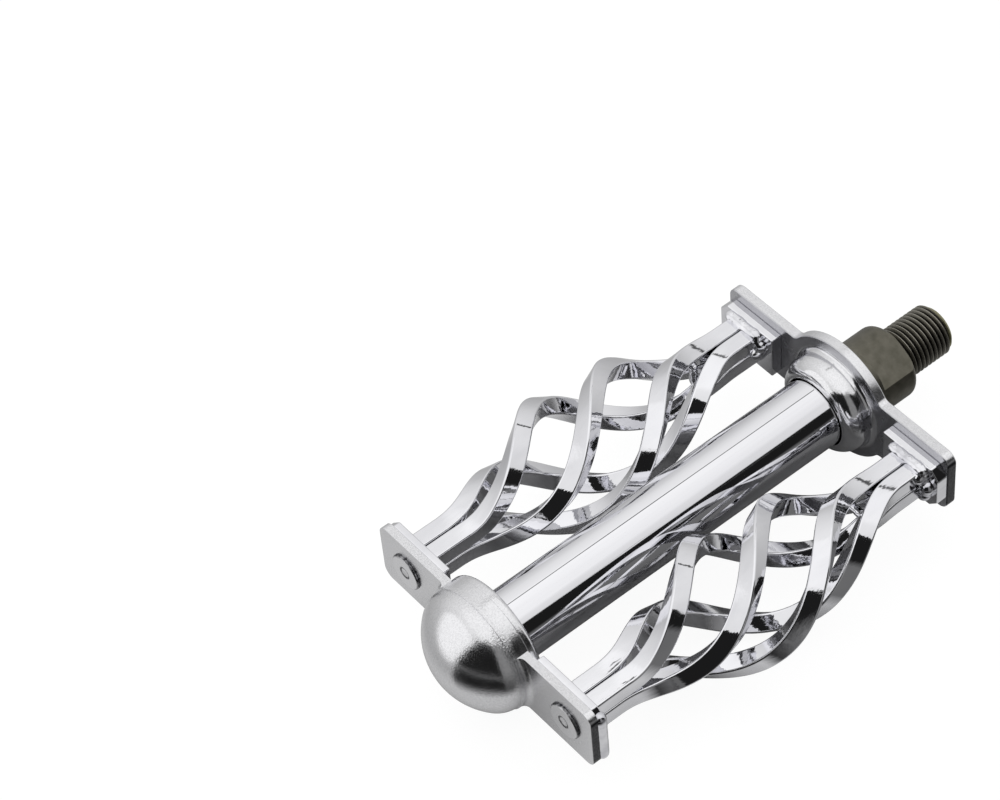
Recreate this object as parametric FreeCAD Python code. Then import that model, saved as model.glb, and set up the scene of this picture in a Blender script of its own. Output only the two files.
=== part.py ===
import FreeCAD, Part
import math
import os

from FreeCAD import Vector

# A bicycle pedal with two basket-shaped cages of twisted square bars, in millimetres.
# +Y runs along the spindle towards the crank, +X towards the front cage, +Z up.
# The origin is on the spindle's axis, at the shoulder that seats on the crank.

# Spindle, from the crank end
thread_diameter = 12.7
thread_length = 14.0
thread_end_chamfer = 1.2
collar_diameter = 18.4
collar_edge_round = 1.8
across_flats = 15.0
flat_length = 10.0
flat_direction = 60.0
inner_journal_diameter = 11.0
inner_journal_length = 15.0
shaft_diameter = 10.4
outer_journal_diameter = 9.4
outer_journal_length = 13.0
nut_thread_diameter = 8.0
nut_thread_length = 9.0
spindle_end_chamfer = 0.8

# Tube and the running fits inside it
tube_diameter = 17.0
tube_wall = 1.5
tube_seat_depth = 1.2
seat_clearance = 0.05
bush_length = 11.0
bush_flange_thickness = 1.2
bush_flange_clearance = 0.2
bearing_clearance = 0.04
end_float = 0.1
thrust_washer_overhang = 0.1
thrust_washer_thickness = 1.0
lock_nut_across_flats = 13.0
lock_nut_height = 6.4
lock_nut_chamfer = 0.8
thread_clearance = 0.02

# End straps
strap_length = 71.0
strap_height = 17.0
strap_corner_radius = 2.6
strap_blend_radius = 2.0
shoulder_to_strap = 14.4
strap_span = 104.8
inner_strap_thickness = 2.6
outer_strap_thickness = 2.0

# Round middle of the inner strap, with the cup pressed towards the tube
inner_middle_radius = 15.9
cup_radius = 13.2
cup_depth = 6.5
cup_wall = 2.2
cup_groove_radius = 1.4
cup_nose_land = 0.4
cup_inner_chamfer = 0.8

# Dome of the outer strap, and the disc behind it
dome_radius = 15.3
dome_lip = 1.9
dome_crease = 0.3
dome_height = 10.7
dome_shoulder_radius = 7.0
dome_wall = 2.0
dome_foot_fillet = 1.4
disc_thickness = 2.3
disc_edge_round = 1.2

# Cages: four square bars in a bundle that opens into a basket
bars_per_cage = 4
bar_width = 4.3
bar_gap = 0.25
basket_radius = 14.4
basket_fullness = 0.15
basket_turn = 270.0
bundle_outer_length = 7.7
bundle_inner_length = 6.7
twist_lag = 3.2
twist_ease = 6.0
bar_sections = 15

# Plates that the bars are welded to, and the rivets through plate and strap
rivet_end_distance = 8.75
plate_end_inset = 0.1
plate_edge_inset = 0.2
plate_dome_gap = 0.3
inner_plate_height = 12.0
plate_corner_cut = 2.4
outer_plate_thickness = 1.9
inner_plate_thickness = 2.9
rivet_shank_diameter = 5.0
rivet_head_diameter = 9.0
rivet_head_height = 0.7
rivet_head_chamfer = 0.3
rivet_dimple_diameter = 3.0
rivet_dimple_depth = 0.5
rivet_tail_diameter = 7.4
rivet_tail_depth = 1.2

# Places along the spindle
inner_strap_back = -shoulder_to_strap
inner_strap_front = inner_strap_back - inner_strap_thickness
cup_nose = inner_strap_front - cup_depth
cup_floor = cup_nose + cup_wall
tube_inner_end = cup_nose + tube_seat_depth
outer_strap_front = inner_strap_back - strap_span
outer_strap_back = outer_strap_front + outer_strap_thickness
disc_back = outer_strap_back + disc_thickness
tube_outer_end = disc_back - tube_seat_depth
inner_flange_face = cup_floor + bush_flange_thickness
outer_flange_face = outer_strap_back - bush_flange_thickness
collar_back = inner_flange_face + end_float + thrust_washer_thickness
washer_seat = outer_flange_face - end_float
nut_seat = washer_seat - thrust_washer_thickness
inner_plate_face = inner_strap_front - inner_plate_thickness
outer_plate_face = outer_strap_back + outer_plate_thickness

# Radii that fit each other
tube_bore = tube_diameter - 2 * tube_wall
seat_radius = tube_diameter / 2 + seat_clearance
lip_radius = tube_bore / 2 + seat_clearance
cup_bore = cup_radius - cup_wall
bush_flange_radius = cup_bore - cup_inner_chamfer - bush_flange_clearance
thrust_washer_radius = collar_diameter / 2 + thrust_washer_overhang
bundle_radius = (bar_width + bar_gap) / math.sqrt(2)

# Middle of each cage, in line with its rivets
cage_offset = strap_length / 2 - rivet_end_distance

# Plates: the inner ones are centred on their rivets, the outer ones fill the straps up to the dome
plate_end = strap_length / 2 - plate_end_inset
inner_plate_start = 2 * cage_offset - plate_end
outer_plate_start = dome_radius + plate_dome_gap
outer_plate_height = strap_height - 2 * plate_edge_inset


def at(radius, along):
    """Point of a turned profile: distance from the spindle's axis, and place along it."""
    return Vector(radius, along, 0)


def line(start, end):
    return Part.LineSegment(start, end).toShape()


def corner(start, bend, end):
    """Quarter round from start to end, with its centre opposite the corner at bend."""
    centre = start + end - bend
    radius = start.distanceToPoint(centre)
    middle = centre + (bend - centre).normalize() * radius
    return Part.Arc(start, middle, end).toShape()


def chain(*points):
    return [line(start, end) for start, end in zip(points, points[1:])]


def turned(edges):
    """Solid of a closed profile turned about the spindle's axis."""
    return Part.Face(Part.Wire(edges)).revolve(Vector(), Vector(0, 1, 0), 360)


def ring(inner_radius, outer_radius, start, end):
    outer = Part.makeCylinder(outer_radius, end - start, at(0, start), Vector(0, 1, 0))
    bore = Part.makeCylinder(inner_radius, end - start, at(0, start), Vector(0, 1, 0))
    return outer.cut(bore)


def upright_block(width, height, start, end, middle_x=0.0):
    """Box between two places along the spindle, centred on the spindle's height."""
    corner_point = Vector(middle_x - width / 2, start, -height / 2)
    return Part.makeBox(width, end - start, height, corner_point)


def edges_along_spindle(shape):
    return [edge for edge in shape.Edges if is_along_spindle(edge)]


def is_along_spindle(edge):
    if edge.Degenerated or not isinstance(edge.Curve, Part.Line):
        return False
    return abs(abs(edge.Curve.Direction.y) - 1) < 1e-6


def make_spindle():
    thread_radius = thread_diameter / 2
    collar_radius = collar_diameter / 2
    journal_end = collar_back - inner_journal_length
    shaft_end = washer_seat + outer_journal_length
    tip = nut_seat - nut_thread_length
    nut_thread_radius = nut_thread_diameter / 2
    crown = at(collar_radius, -collar_edge_round)
    edges = chain(at(0, tip), at(nut_thread_radius - spindle_end_chamfer, tip),
                  at(nut_thread_radius, tip + spindle_end_chamfer), at(nut_thread_radius, washer_seat),
                  at(outer_journal_diameter / 2, washer_seat), at(outer_journal_diameter / 2, shaft_end),
                  at(shaft_diameter / 2, shaft_end), at(shaft_diameter / 2, journal_end),
                  at(inner_journal_diameter / 2, journal_end), at(inner_journal_diameter / 2, collar_back),
                  at(collar_radius, collar_back), crown)
    edges.append(corner(crown, at(collar_radius, 0), at(collar_radius - collar_edge_round, 0)))
    edges += chain(at(collar_radius - collar_edge_round, 0), at(thread_radius, 0),
                   at(thread_radius, thread_length - thread_end_chamfer),
                   at(thread_radius - thread_end_chamfer, thread_length), at(0, thread_length), at(0, tip))
    spindle = turned(edges)
    for side in (-1, 1):
        flat = Part.makeBox(collar_diameter, flat_length, collar_diameter,
                            Vector(across_flats / 2, -flat_length, -collar_diameter / 2))
        flat.rotate(Vector(), Vector(0, 1, 0), -flat_direction - 90 + 90 * side)
        spindle = spindle.cut(flat)
    return spindle


def make_tube():
    return ring(tube_bore / 2, tube_diameter / 2, tube_outer_end, tube_inner_end)


def make_bush(bore, flange_seat, towards_tube):
    """Flanged bush: its flange stands on flange_seat, and its sleeve runs into the tube."""
    sleeve_end = flange_seat + towards_tube * bush_length
    flange_face = flange_seat - towards_tube * bush_flange_thickness
    sleeve = ring(bore / 2, tube_bore / 2, *sorted((flange_seat, sleeve_end)))
    flange = ring(bore / 2, bush_flange_radius, *sorted((flange_seat, flange_face)))
    return sleeve.fuse(flange).removeSplitter()


def make_thrust_washer(bore, face, towards_tube):
    far_face = face - towards_tube * thrust_washer_thickness
    return ring(bore / 2, thrust_washer_radius, *sorted((face, far_face)))


def make_lock_nut():
    across_corners = lock_nut_across_flats / math.cos(math.pi / 6)
    far_face = nut_seat - lock_nut_height
    corners = [at(0, far_face) + Vector(math.cos(turn), 0, math.sin(turn)) * (across_corners / 2)
               for turn in (math.radians(60 * step) for step in range(7))]
    nut = Part.Face(Part.makePolygon(corners)).extrude(Vector(0, lock_nut_height, 0))
    outer_radius = across_corners / 2
    crown = turned(chain(at(0, nut_seat), at(outer_radius, nut_seat),
                         at(outer_radius, far_face + lock_nut_chamfer),
                         at(outer_radius - lock_nut_chamfer, far_face), at(0, far_face), at(0, nut_seat)))
    hole = Part.makeCylinder(nut_thread_diameter / 2 + thread_clearance, lock_nut_height,
                             at(0, far_face), Vector(0, 1, 0))
    return nut.common(crown).cut(hole)


def make_strap_plate(start, end, middle_radius):
    """Flat strap with rounded ends and a round middle, before the middle is pressed out."""
    ears = upright_block(strap_length, strap_height, start, end)
    ears = ears.makeFillet(strap_corner_radius, edges_along_spindle(ears))
    middle = Part.makeCylinder(middle_radius, end - start, at(0, start), Vector(0, 1, 0))
    plate = ears.fuse(middle).removeSplitter()
    meeting_x = math.sqrt(middle_radius ** 2 - (strap_height / 2) ** 2)
    inside_corners = [edge for edge in edges_along_spindle(plate)
                      if abs(abs(edge.CenterOfMass.x) - meeting_x) < 0.01
                      and abs(abs(edge.CenterOfMass.z) - strap_height / 2) < 0.01]
    return plate.makeFillet(strap_blend_radius, inside_corners)


def rivet_hole(x, start, end):
    radius = rivet_shank_diameter / 2 + seat_clearance
    return Part.makeCylinder(radius, end - start, Vector(x, start, 0), Vector(0, 1, 0))


def drill_for_rivets(plate, start, end):
    for x in (-cage_offset, cage_offset):
        plate = plate.cut(rivet_hole(x, start, end))
    return plate


def make_inner_strap():
    plate = make_strap_plate(inner_strap_front, inner_strap_back, inner_middle_radius)
    shoulder_start = at(seat_radius + cup_nose_land, cup_nose)
    shoulder_end = at(cup_radius, cup_nose + cup_radius - shoulder_start.x)
    groove_start = at(cup_radius, inner_strap_front - cup_groove_radius)
    groove_end = at(cup_radius + cup_groove_radius, inner_strap_front)
    edges = chain(at(lip_radius, cup_floor), at(lip_radius, tube_inner_end),
                  at(seat_radius, tube_inner_end), at(seat_radius, cup_nose), shoulder_start)
    edges.append(corner(shoulder_start, at(cup_radius, cup_nose), shoulder_end))
    if shoulder_end.distanceToPoint(groove_start) > 1e-6:
        edges += chain(shoulder_end, groove_start)
    edges.append(corner(groove_start, at(cup_radius, inner_strap_front), groove_end))
    edges += chain(groove_end, at(groove_end.x, inner_strap_back), at(cup_bore, inner_strap_back),
                   at(cup_bore, cup_floor + cup_inner_chamfer), at(cup_bore - cup_inner_chamfer, cup_floor),
                   at(lip_radius, cup_floor))
    mouth = Part.makeCylinder(cup_radius, inner_strap_thickness, at(0, inner_strap_front), Vector(0, 1, 0))
    strap = plate.cut(mouth).fuse(turned(edges)).removeSplitter()
    return drill_for_rivets(strap, inner_strap_front, inner_strap_back)


def dome_arcs(radius, height, shoulder_radius, foot):
    """Shoulder arc that leaves the lip straight, and the crown arc that carries it on to the tip."""
    crown_radius = ((radius - shoulder_radius) ** 2 + height ** 2 - shoulder_radius ** 2)
    crown_radius /= 2 * (height - shoulder_radius)
    shoulder_centre = at(radius - shoulder_radius, foot)
    crown_centre = at(0, foot - height + crown_radius)
    outwards, downwards = Vector(1, 0, 0), Vector(0, -1, 0)
    meeting = (shoulder_centre - crown_centre).normalize()
    shoulder = Part.Arc(shoulder_centre + outwards * shoulder_radius,
                        shoulder_centre + (outwards + meeting).normalize() * shoulder_radius,
                        shoulder_centre + meeting * shoulder_radius)
    crown = Part.Arc(crown_centre + meeting * crown_radius,
                     crown_centre + (meeting + downwards).normalize() * crown_radius,
                     crown_centre + downwards * crown_radius)
    return [shoulder.toShape(), crown.toShape()]


def make_dome_shell():
    """Hollow dome with a short straight lip, open towards the tube."""
    foot = outer_strap_front - dome_lip
    outside = dome_radius - dome_crease
    inside = dome_radius - dome_wall
    inside_height = dome_height - dome_wall
    outer_arcs = dome_arcs(outside, dome_height, dome_shoulder_radius, foot)
    inner_arcs = dome_arcs(inside, inside_height, dome_shoulder_radius - dome_wall, foot)
    tip_line = line(at(0, foot - dome_height), at(0, foot - inside_height))
    edges = chain(at(inside, foot), at(inside, outer_strap_back), at(dome_radius, outer_strap_back),
                  at(dome_radius, foot), at(outside, foot))
    return turned(edges + outer_arcs + [tip_line] + inner_arcs[::-1])


def make_outer_strap():
    ears = upright_block(strap_length, strap_height, outer_strap_front, outer_strap_back)
    ears = ears.makeFillet(strap_corner_radius, edges_along_spindle(ears))
    mouth = Part.makeCylinder(dome_radius - dome_wall / 2, outer_strap_thickness,
                              at(0, outer_strap_front), Vector(0, 1, 0))
    strap = ears.cut(mouth).fuse(make_dome_shell()).removeSplitter()
    strap = strap.makeFillet(dome_foot_fillet, [edge for edge in strap.Edges if is_dome_foot(edge)])
    return drill_for_rivets(strap, outer_strap_front, outer_strap_back)


def is_dome_foot(edge):
    if edge.Degenerated or not isinstance(edge.Curve, Part.Circle):
        return False
    on_front = abs(edge.CenterOfMass.y - outer_strap_front) < 1e-6
    return on_front and abs(edge.Curve.Radius - dome_radius) < 1e-6


def make_outer_disc():
    round_start = at(dome_radius - disc_edge_round, disc_back)
    round_end = at(dome_radius, disc_back - disc_edge_round)
    edges = chain(at(lip_radius, outer_strap_back), at(lip_radius, tube_outer_end),
                  at(seat_radius, tube_outer_end), at(seat_radius, disc_back), round_start)
    edges.append(corner(round_start, at(dome_radius, disc_back), round_end))
    edges += chain(round_end, at(dome_radius, outer_strap_back), at(lip_radius, outer_strap_back))
    return turned(edges)


def swell(share):
    """Raised cosine: 0 at both ends, 1 in the middle."""
    return (1 - math.cos(2 * math.pi * share)) / 2


def eased(share, ease):
    """Even way from 0 to 1 that starts and stops gently over the given share of it."""
    speed = 1 / (1 - ease)
    if share < ease:
        return speed * share ** 2 / (2 * ease)
    if share > 1 - ease:
        return 1 - speed * (1 - share) ** 2 / (2 * ease)
    return speed * (share - ease / 2)


def bar_place(along, index, cage_x):
    """Centre of one bar, and the direction of the bar's outer edge, at a place along the spindle."""
    belly_start = outer_plate_face + bundle_outer_length
    belly_end = inner_plate_face - bundle_inner_length
    belly_share = min(max((along - belly_start) / (belly_end - belly_start), 0), 1)
    rise = swell(belly_share)
    rise *= 1 + basket_fullness * (1 - rise)
    radius = bundle_radius + (basket_radius - bundle_radius) * rise
    twist_start = belly_start + twist_lag
    twist_length = belly_end - twist_start
    twist_share = min(max((along - twist_start) / twist_length, 0), 1)
    turn = basket_turn * eased(twist_share, twist_ease / twist_length)
    angle = math.radians(45 + 360 / bars_per_cage * index + turn)
    outwards = Vector(math.cos(angle), 0, math.sin(angle))
    return Vector(cage_x, along, 0) + outwards * radius, outwards


def bar_section(along, index, cage_x):
    """Square wire across the bar, with one corner turned outwards."""
    step = 0.05
    centre, outwards = bar_place(along, index, cage_x)
    ahead = bar_place(min(along + step, inner_plate_face), index, cage_x)[0]
    behind = bar_place(max(along - step, outer_plate_face), index, cage_x)[0]
    course = (ahead - behind).normalize()
    outwards = (outwards - course * outwards.dot(course)).normalize()
    sideways = course.cross(outwards)
    reach = bar_width / math.sqrt(2)
    corners = [centre + direction * reach for direction in (outwards, sideways, -outwards, -sideways)]
    return Part.makePolygon(corners + corners[:1])


def make_bar(index, cage_x):
    places = [outer_plate_face + (inner_plate_face - outer_plate_face) * number / (bar_sections - 1)
              for number in range(bar_sections)]
    return Part.makeLoft([bar_section(along, index, cage_x) for along in places], True)


def make_plate(side, start_x, height, bar_face, strap_face):
    """Plate between a strap and the bars, on the front (1) or rear (-1) side, with its end corners cut."""
    low_face, high_face = sorted((bar_face, strap_face))
    towards_strap = 1 if strap_face > bar_face else -1
    rivet_x = side * cage_offset
    plate = upright_block(plate_end - start_x, height, low_face, high_face, side * (start_x + plate_end) / 2)
    end_corners = [edge for edge in edges_along_spindle(plate) if abs(edge.CenterOfMass.x) > cage_offset]
    plate = plate.makeChamfer(plate_corner_cut, end_corners)
    plate = plate.cut(rivet_hole(rivet_x, low_face, high_face))
    return plate.cut(rivet_tail(rivet_x, bar_face, towards_strap))


def rivet_tail(x, tail_face, towards_strap):
    """Countersunk end of a rivet, flush with the face that the bars stand on."""
    return Part.makeCone(rivet_tail_diameter / 2, rivet_shank_diameter / 2, rivet_tail_depth,
                         Vector(x, tail_face, 0), Vector(0, towards_strap, 0))


def make_rivet(x, tail_face, strap_face, towards_strap):
    """Rivet with a flat dimpled head on the strap and a countersunk tail in the plate."""
    tail_radius = rivet_tail_diameter / 2
    shank_radius = rivet_shank_diameter / 2
    head_radius = rivet_head_diameter / 2
    head_top = strap_face + towards_strap * rivet_head_height
    rivet = turned(chain(at(0, tail_face), at(tail_radius, tail_face),
                         at(shank_radius, tail_face + towards_strap * rivet_tail_depth),
                         at(shank_radius, strap_face), at(head_radius, strap_face),
                         at(head_radius, head_top - towards_strap * rivet_head_chamfer),
                         at(head_radius - rivet_head_chamfer, head_top),
                         at(rivet_dimple_diameter / 2, head_top),
                         at(0, head_top - towards_strap * rivet_dimple_depth), at(0, tail_face)))
    rivet.translate(Vector(x, 0, 0))
    return rivet


def make_rivets(tail_face, strap_face, towards_strap):
    return Part.makeCompound([make_rivet(x, tail_face, strap_face, towards_strap)
                              for x in (-cage_offset, cage_offset)])


def make_pieces():
    inner_bore = inner_journal_diameter + 2 * bearing_clearance
    outer_bore = outer_journal_diameter + 2 * bearing_clearance
    nut_washer_bore = nut_thread_diameter + 2 * thread_clearance
    pieces = {
        "spindle": make_spindle(),
        "center_tube": make_tube(),
        "inner_bush": make_bush(inner_bore, cup_floor, -1),
        "outer_bush": make_bush(outer_bore, outer_strap_back, 1),
        "inner_thrust_washer": make_thrust_washer(inner_bore, collar_back - thrust_washer_thickness, -1),
        "outer_thrust_washer": make_thrust_washer(nut_washer_bore, washer_seat, 1),
        "lock_nut": make_lock_nut(),
        "inner_end_strap": make_inner_strap(),
        "outer_end_strap": make_outer_strap(),
        "outer_end_disc": make_outer_disc(),
        "outer_rivets": make_rivets(outer_plate_face, outer_strap_front, -1),
        "inner_rivets": make_rivets(inner_plate_face, inner_strap_back, 1),
    }
    for cage, side in (("front", 1), ("rear", -1)):
        pieces[cage + "_cage_outer_plate"] = make_plate(side, outer_plate_start, outer_plate_height,
                                                        outer_plate_face, outer_strap_back)
        pieces[cage + "_cage_inner_plate"] = make_plate(side, inner_plate_start, inner_plate_height,
                                                        inner_plate_face, inner_strap_front)
        for index in range(bars_per_cage):
            pieces[f"{cage}_cage_bar_{index + 1}"] = make_bar(index, side * cage_offset)
    return pieces


os.makedirs("parts", exist_ok=True)
for node, shape in make_pieces().items():
    shape.exportStep(f"parts/{node}.step")
    print(node, "volume", round(shape.Volume, 1), "valid", shape.isValid())
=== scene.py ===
# %% [markdown]
# # A bicycle pedal with twisted cages
# This lesson dresses a pedal whose solids are already made at their real size. The solids say where
# everything is. The lesson adds what they leave out: the softened edges of plated steel, the thread on the
# spindle, the weld metal, and finishes that make chrome look like chrome.

import math
import random

import bmesh
import bpy
from mathutils import Matrix, Vector


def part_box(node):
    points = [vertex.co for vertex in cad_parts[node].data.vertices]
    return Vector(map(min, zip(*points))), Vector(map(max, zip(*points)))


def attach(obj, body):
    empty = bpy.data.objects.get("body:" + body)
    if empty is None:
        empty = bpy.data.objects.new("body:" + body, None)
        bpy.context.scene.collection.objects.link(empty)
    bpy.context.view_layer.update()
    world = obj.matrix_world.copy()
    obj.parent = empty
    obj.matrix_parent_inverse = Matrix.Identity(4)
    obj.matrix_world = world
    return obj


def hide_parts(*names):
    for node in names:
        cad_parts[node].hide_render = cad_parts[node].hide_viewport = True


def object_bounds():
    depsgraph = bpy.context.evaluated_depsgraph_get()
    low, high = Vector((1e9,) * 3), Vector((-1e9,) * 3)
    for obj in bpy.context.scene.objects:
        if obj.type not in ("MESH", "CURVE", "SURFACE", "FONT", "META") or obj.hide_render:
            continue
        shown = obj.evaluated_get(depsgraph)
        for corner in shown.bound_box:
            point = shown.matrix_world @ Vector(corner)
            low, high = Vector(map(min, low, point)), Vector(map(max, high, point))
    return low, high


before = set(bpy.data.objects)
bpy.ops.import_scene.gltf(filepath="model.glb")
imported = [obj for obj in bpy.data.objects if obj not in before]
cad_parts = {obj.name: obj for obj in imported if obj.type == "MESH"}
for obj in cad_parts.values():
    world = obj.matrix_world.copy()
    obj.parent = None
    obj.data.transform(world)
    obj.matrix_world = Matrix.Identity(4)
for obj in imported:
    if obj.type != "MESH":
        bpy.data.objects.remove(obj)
cad_low, cad_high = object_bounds()
MM = 0.001


def box_mm(node):
    """Lowest and highest corner of a solid, in millimetres."""
    low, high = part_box(node)
    return low / MM, high / MM


# %% [markdown]
# ## Colours and nodes
# Colours are easiest to write as the hex values that a paint program shows, but shaders work in linear
# light, so one function converts them. A second small function adds any node with its options and inputs,
# which keeps each material readable from top to bottom. Inputs come as a list in their order, or by name or
# number where only some are needed: a Mix node has its colours on inputs 6 and 7, its numbers on 2 and 3.

# %% Colour and node helpers
def linear_colour(hex_text):
    """Linear RGBA of an sRGB hex colour such as #C8C8CC."""
    shares = [int(hex_text[place:place + 2], 16) / 255 for place in (1, 3, 5)]
    linear = [share / 12.92 if share <= 0.04045 else ((share + 0.055) / 1.055) ** 2.4 for share in shares]
    return linear + [1]


def add_node(tree, kind, inputs=(), **options):
    """Add a node, set its options, and set its inputs or link them to sockets or to other nodes."""
    node = tree.nodes.new("ShaderNode" + kind)
    for option, value in options.items():
        setattr(node, option, value)
    by_socket = inputs if isinstance(inputs, dict) else dict(enumerate(inputs))
    for socket, value in by_socket.items():
        if isinstance(value, bpy.types.Node):
            value = next(output for output in value.outputs if output.enabled)
        if isinstance(value, bpy.types.NodeSocket):
            tree.links.new(value, node.inputs[socket])
        else:
            node.inputs[socket].default_value = value
    return node


def new_material(name):
    """An empty node material, its node tree, and the Object coordinates that its patterns use."""
    material = bpy.data.materials.new(name)
    material.use_nodes = True
    tree = material.node_tree
    tree.nodes.clear()
    place = add_node(tree, "TexCoord").outputs["Object"]
    return material, tree, place


def pattern_scale(size):
    """Noise scale that gives features of this size, in millimetres, on coordinates in metres."""
    return 1 / (size * MM)


print("chrome grey in linear light:", [round(share, 3) for share in linear_colour("#C8C8CC")])

# %% [markdown]
# ## Mirror chrome
# The tube and the bars are polished steel under bright chrome. Chrome is nearly colourless, and it is seen
# almost only by what it mirrors. A perfect mirror looks false, so waves left by the polishing belt bend the
# reflections a little, and a haze of fine wear dulls the colour and the polish in patches. The waves are
# real in size: one millimetre across on the bars, and drawn out along them and the tube as the belt ran.

# %% Mirror chrome
haze_size = 6.0
clean_roughness = 0.025
hazy_roughness = 0.07


def make_mirror_chrome(name, dull_colour, stretch, wave_size, wave_height):
    """Bright chrome, duller in patches, with polishing waves of a size and height in millimetres."""
    material, tree, place = new_material(name)
    drawn_out = add_node(tree, "Mapping", {"Vector": place, "Scale": stretch})
    waves = add_node(tree, "TexNoise",
                     {"Vector": drawn_out, "Scale": pattern_scale(wave_size), "Detail": 2.0})
    haze = add_node(tree, "TexNoise",
                    {"Vector": drawn_out, "Scale": pattern_scale(haze_size), "Detail": 4.0})
    hazy = add_node(tree, "MapRange", [haze, 0.35, 0.75])
    colours = {0: hazy, 6: linear_colour("#F4F4F7"), 7: linear_colour(dull_colour)}
    shader = add_node(tree, "BsdfPrincipled", {
        "Metallic": 1.0,
        "Base Color": add_node(tree, "Mix", colours, data_type="RGBA"),
        "Roughness": add_node(tree, "MapRange", [hazy, 0, 1, clean_roughness, hazy_roughness]),
        "Normal": add_node(tree, "Bump", {"Height": waves, "Strength": 1.0, "Distance": wave_height * MM}),
    })
    add_node(tree, "OutputMaterial", {"Surface": shader})
    return material


bar_chrome = make_mirror_chrome("mirror_chrome_on_bar", dull_colour="#E6E6EA", stretch=(1, 0.3, 1),
                                wave_size=1.0, wave_height=0.014)
tube_chrome = make_mirror_chrome("mirror_chrome_on_drawn_tube", dull_colour="#D8D8DC", stretch=(1, 0.02, 1),
                                 wave_size=1.4, wave_height=0.004)
weld_chrome = make_mirror_chrome("mirror_chrome_on_weld_metal", dull_colour="#C8C8CE", stretch=(1, 1, 1),
                                 wave_size=1.2, wave_height=0.04)
print("mirror chrome:", bar_chrome.name, tube_chrome.name, weld_chrome.name)

# %% [markdown]
# ## Painted shade on the straps
# Shade is painted dark into the straps' colour in the corner where the tube goes in, and on the front ends
# of the straps. Both places follow from the sizes of the solids. The dome has the same distance from the
# axis as the tube's corner, so the painted shade there is kept to what lies behind the dome.

# %% Places of the painted shade
satin_colour = "#EDEDEF"
tube_low, tube_high = box_mm("center_tube")
tube_radius = tube_high.x
strap_low, strap_high = box_mm("outer_end_strap")
tube_shade_reach = 0.45
tube_shade_full = 0.2
end_shade_reach = 0.35
end_shade_full = 0.15
behind_dome_blend = 0.2


def axis_distance(tree, place):
    """How far a point is from the spindle's axis, which is the Y axis."""
    flat = add_node(tree, "VectorMath", [place, (1, 0, 1)], operation="MULTIPLY")
    return add_node(tree, "VectorMath", [flat], operation="LENGTH")


def strap_painted_shade(tree, forward, along, radius):
    """Painted shade: 1 in the corner round the tube and at the straps' front ends, 0 elsewhere."""
    near_tube = add_node(tree, "MapRange", [radius, (tube_radius + tube_shade_reach) * MM,
                                            (tube_radius + tube_shade_full) * MM])
    behind_dome = add_node(tree, "MapRange", [along, (tube_low.y - behind_dome_blend) * MM, tube_low.y * MM])
    in_corner = add_node(tree, "Math", [near_tube, behind_dome], operation="MULTIPLY")
    at_end = add_node(tree, "MapRange", [forward, (strap_high.x - end_shade_reach) * MM,
                                         (strap_high.x - end_shade_full) * MM])
    return add_node(tree, "Math", [in_corner, at_end], operation="MAXIMUM")


print("tube radius", round(tube_radius, 2), "mm, straps end at", round(strap_high.x, 2), "mm")

# %% [markdown]
# ## Satin chrome
# The straps and the dome were pressed from sheet and plated without polishing, so the sheet's fine grain
# stays under the chrome and spreads the reflections. The grain is really a few hundredths of a millimetre.
# It is drawn coarser here, at a few tenths, so that it shows. The cup near the crank and the dome are
# smoother than their straps, because the press tool rubbed them. The tool also scuffed the crease round the
# dome. The rim of the inner strap is painted a darker grey on its side that faces the tube, as painted
# shade.

# %% Satin chrome
cup_outer_radius = 13.1
dome_outer_radius = 15.4
dome_height = 10.7
dome_crease_along = strap_low.y + dome_height
plate_low, plate_high = box_mm("front_cage_inner_plate")
inner_strap_face = plate_high.y
middle_blend = 0.6
shaded_face_reach = 0.4
shaded_face_full = 0.1
scuff_reach = 1.8
scuff_full = 0.4
scuff_strength = 5.0
blotch_size = 3.0
speckle_strength = 0.17


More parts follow.
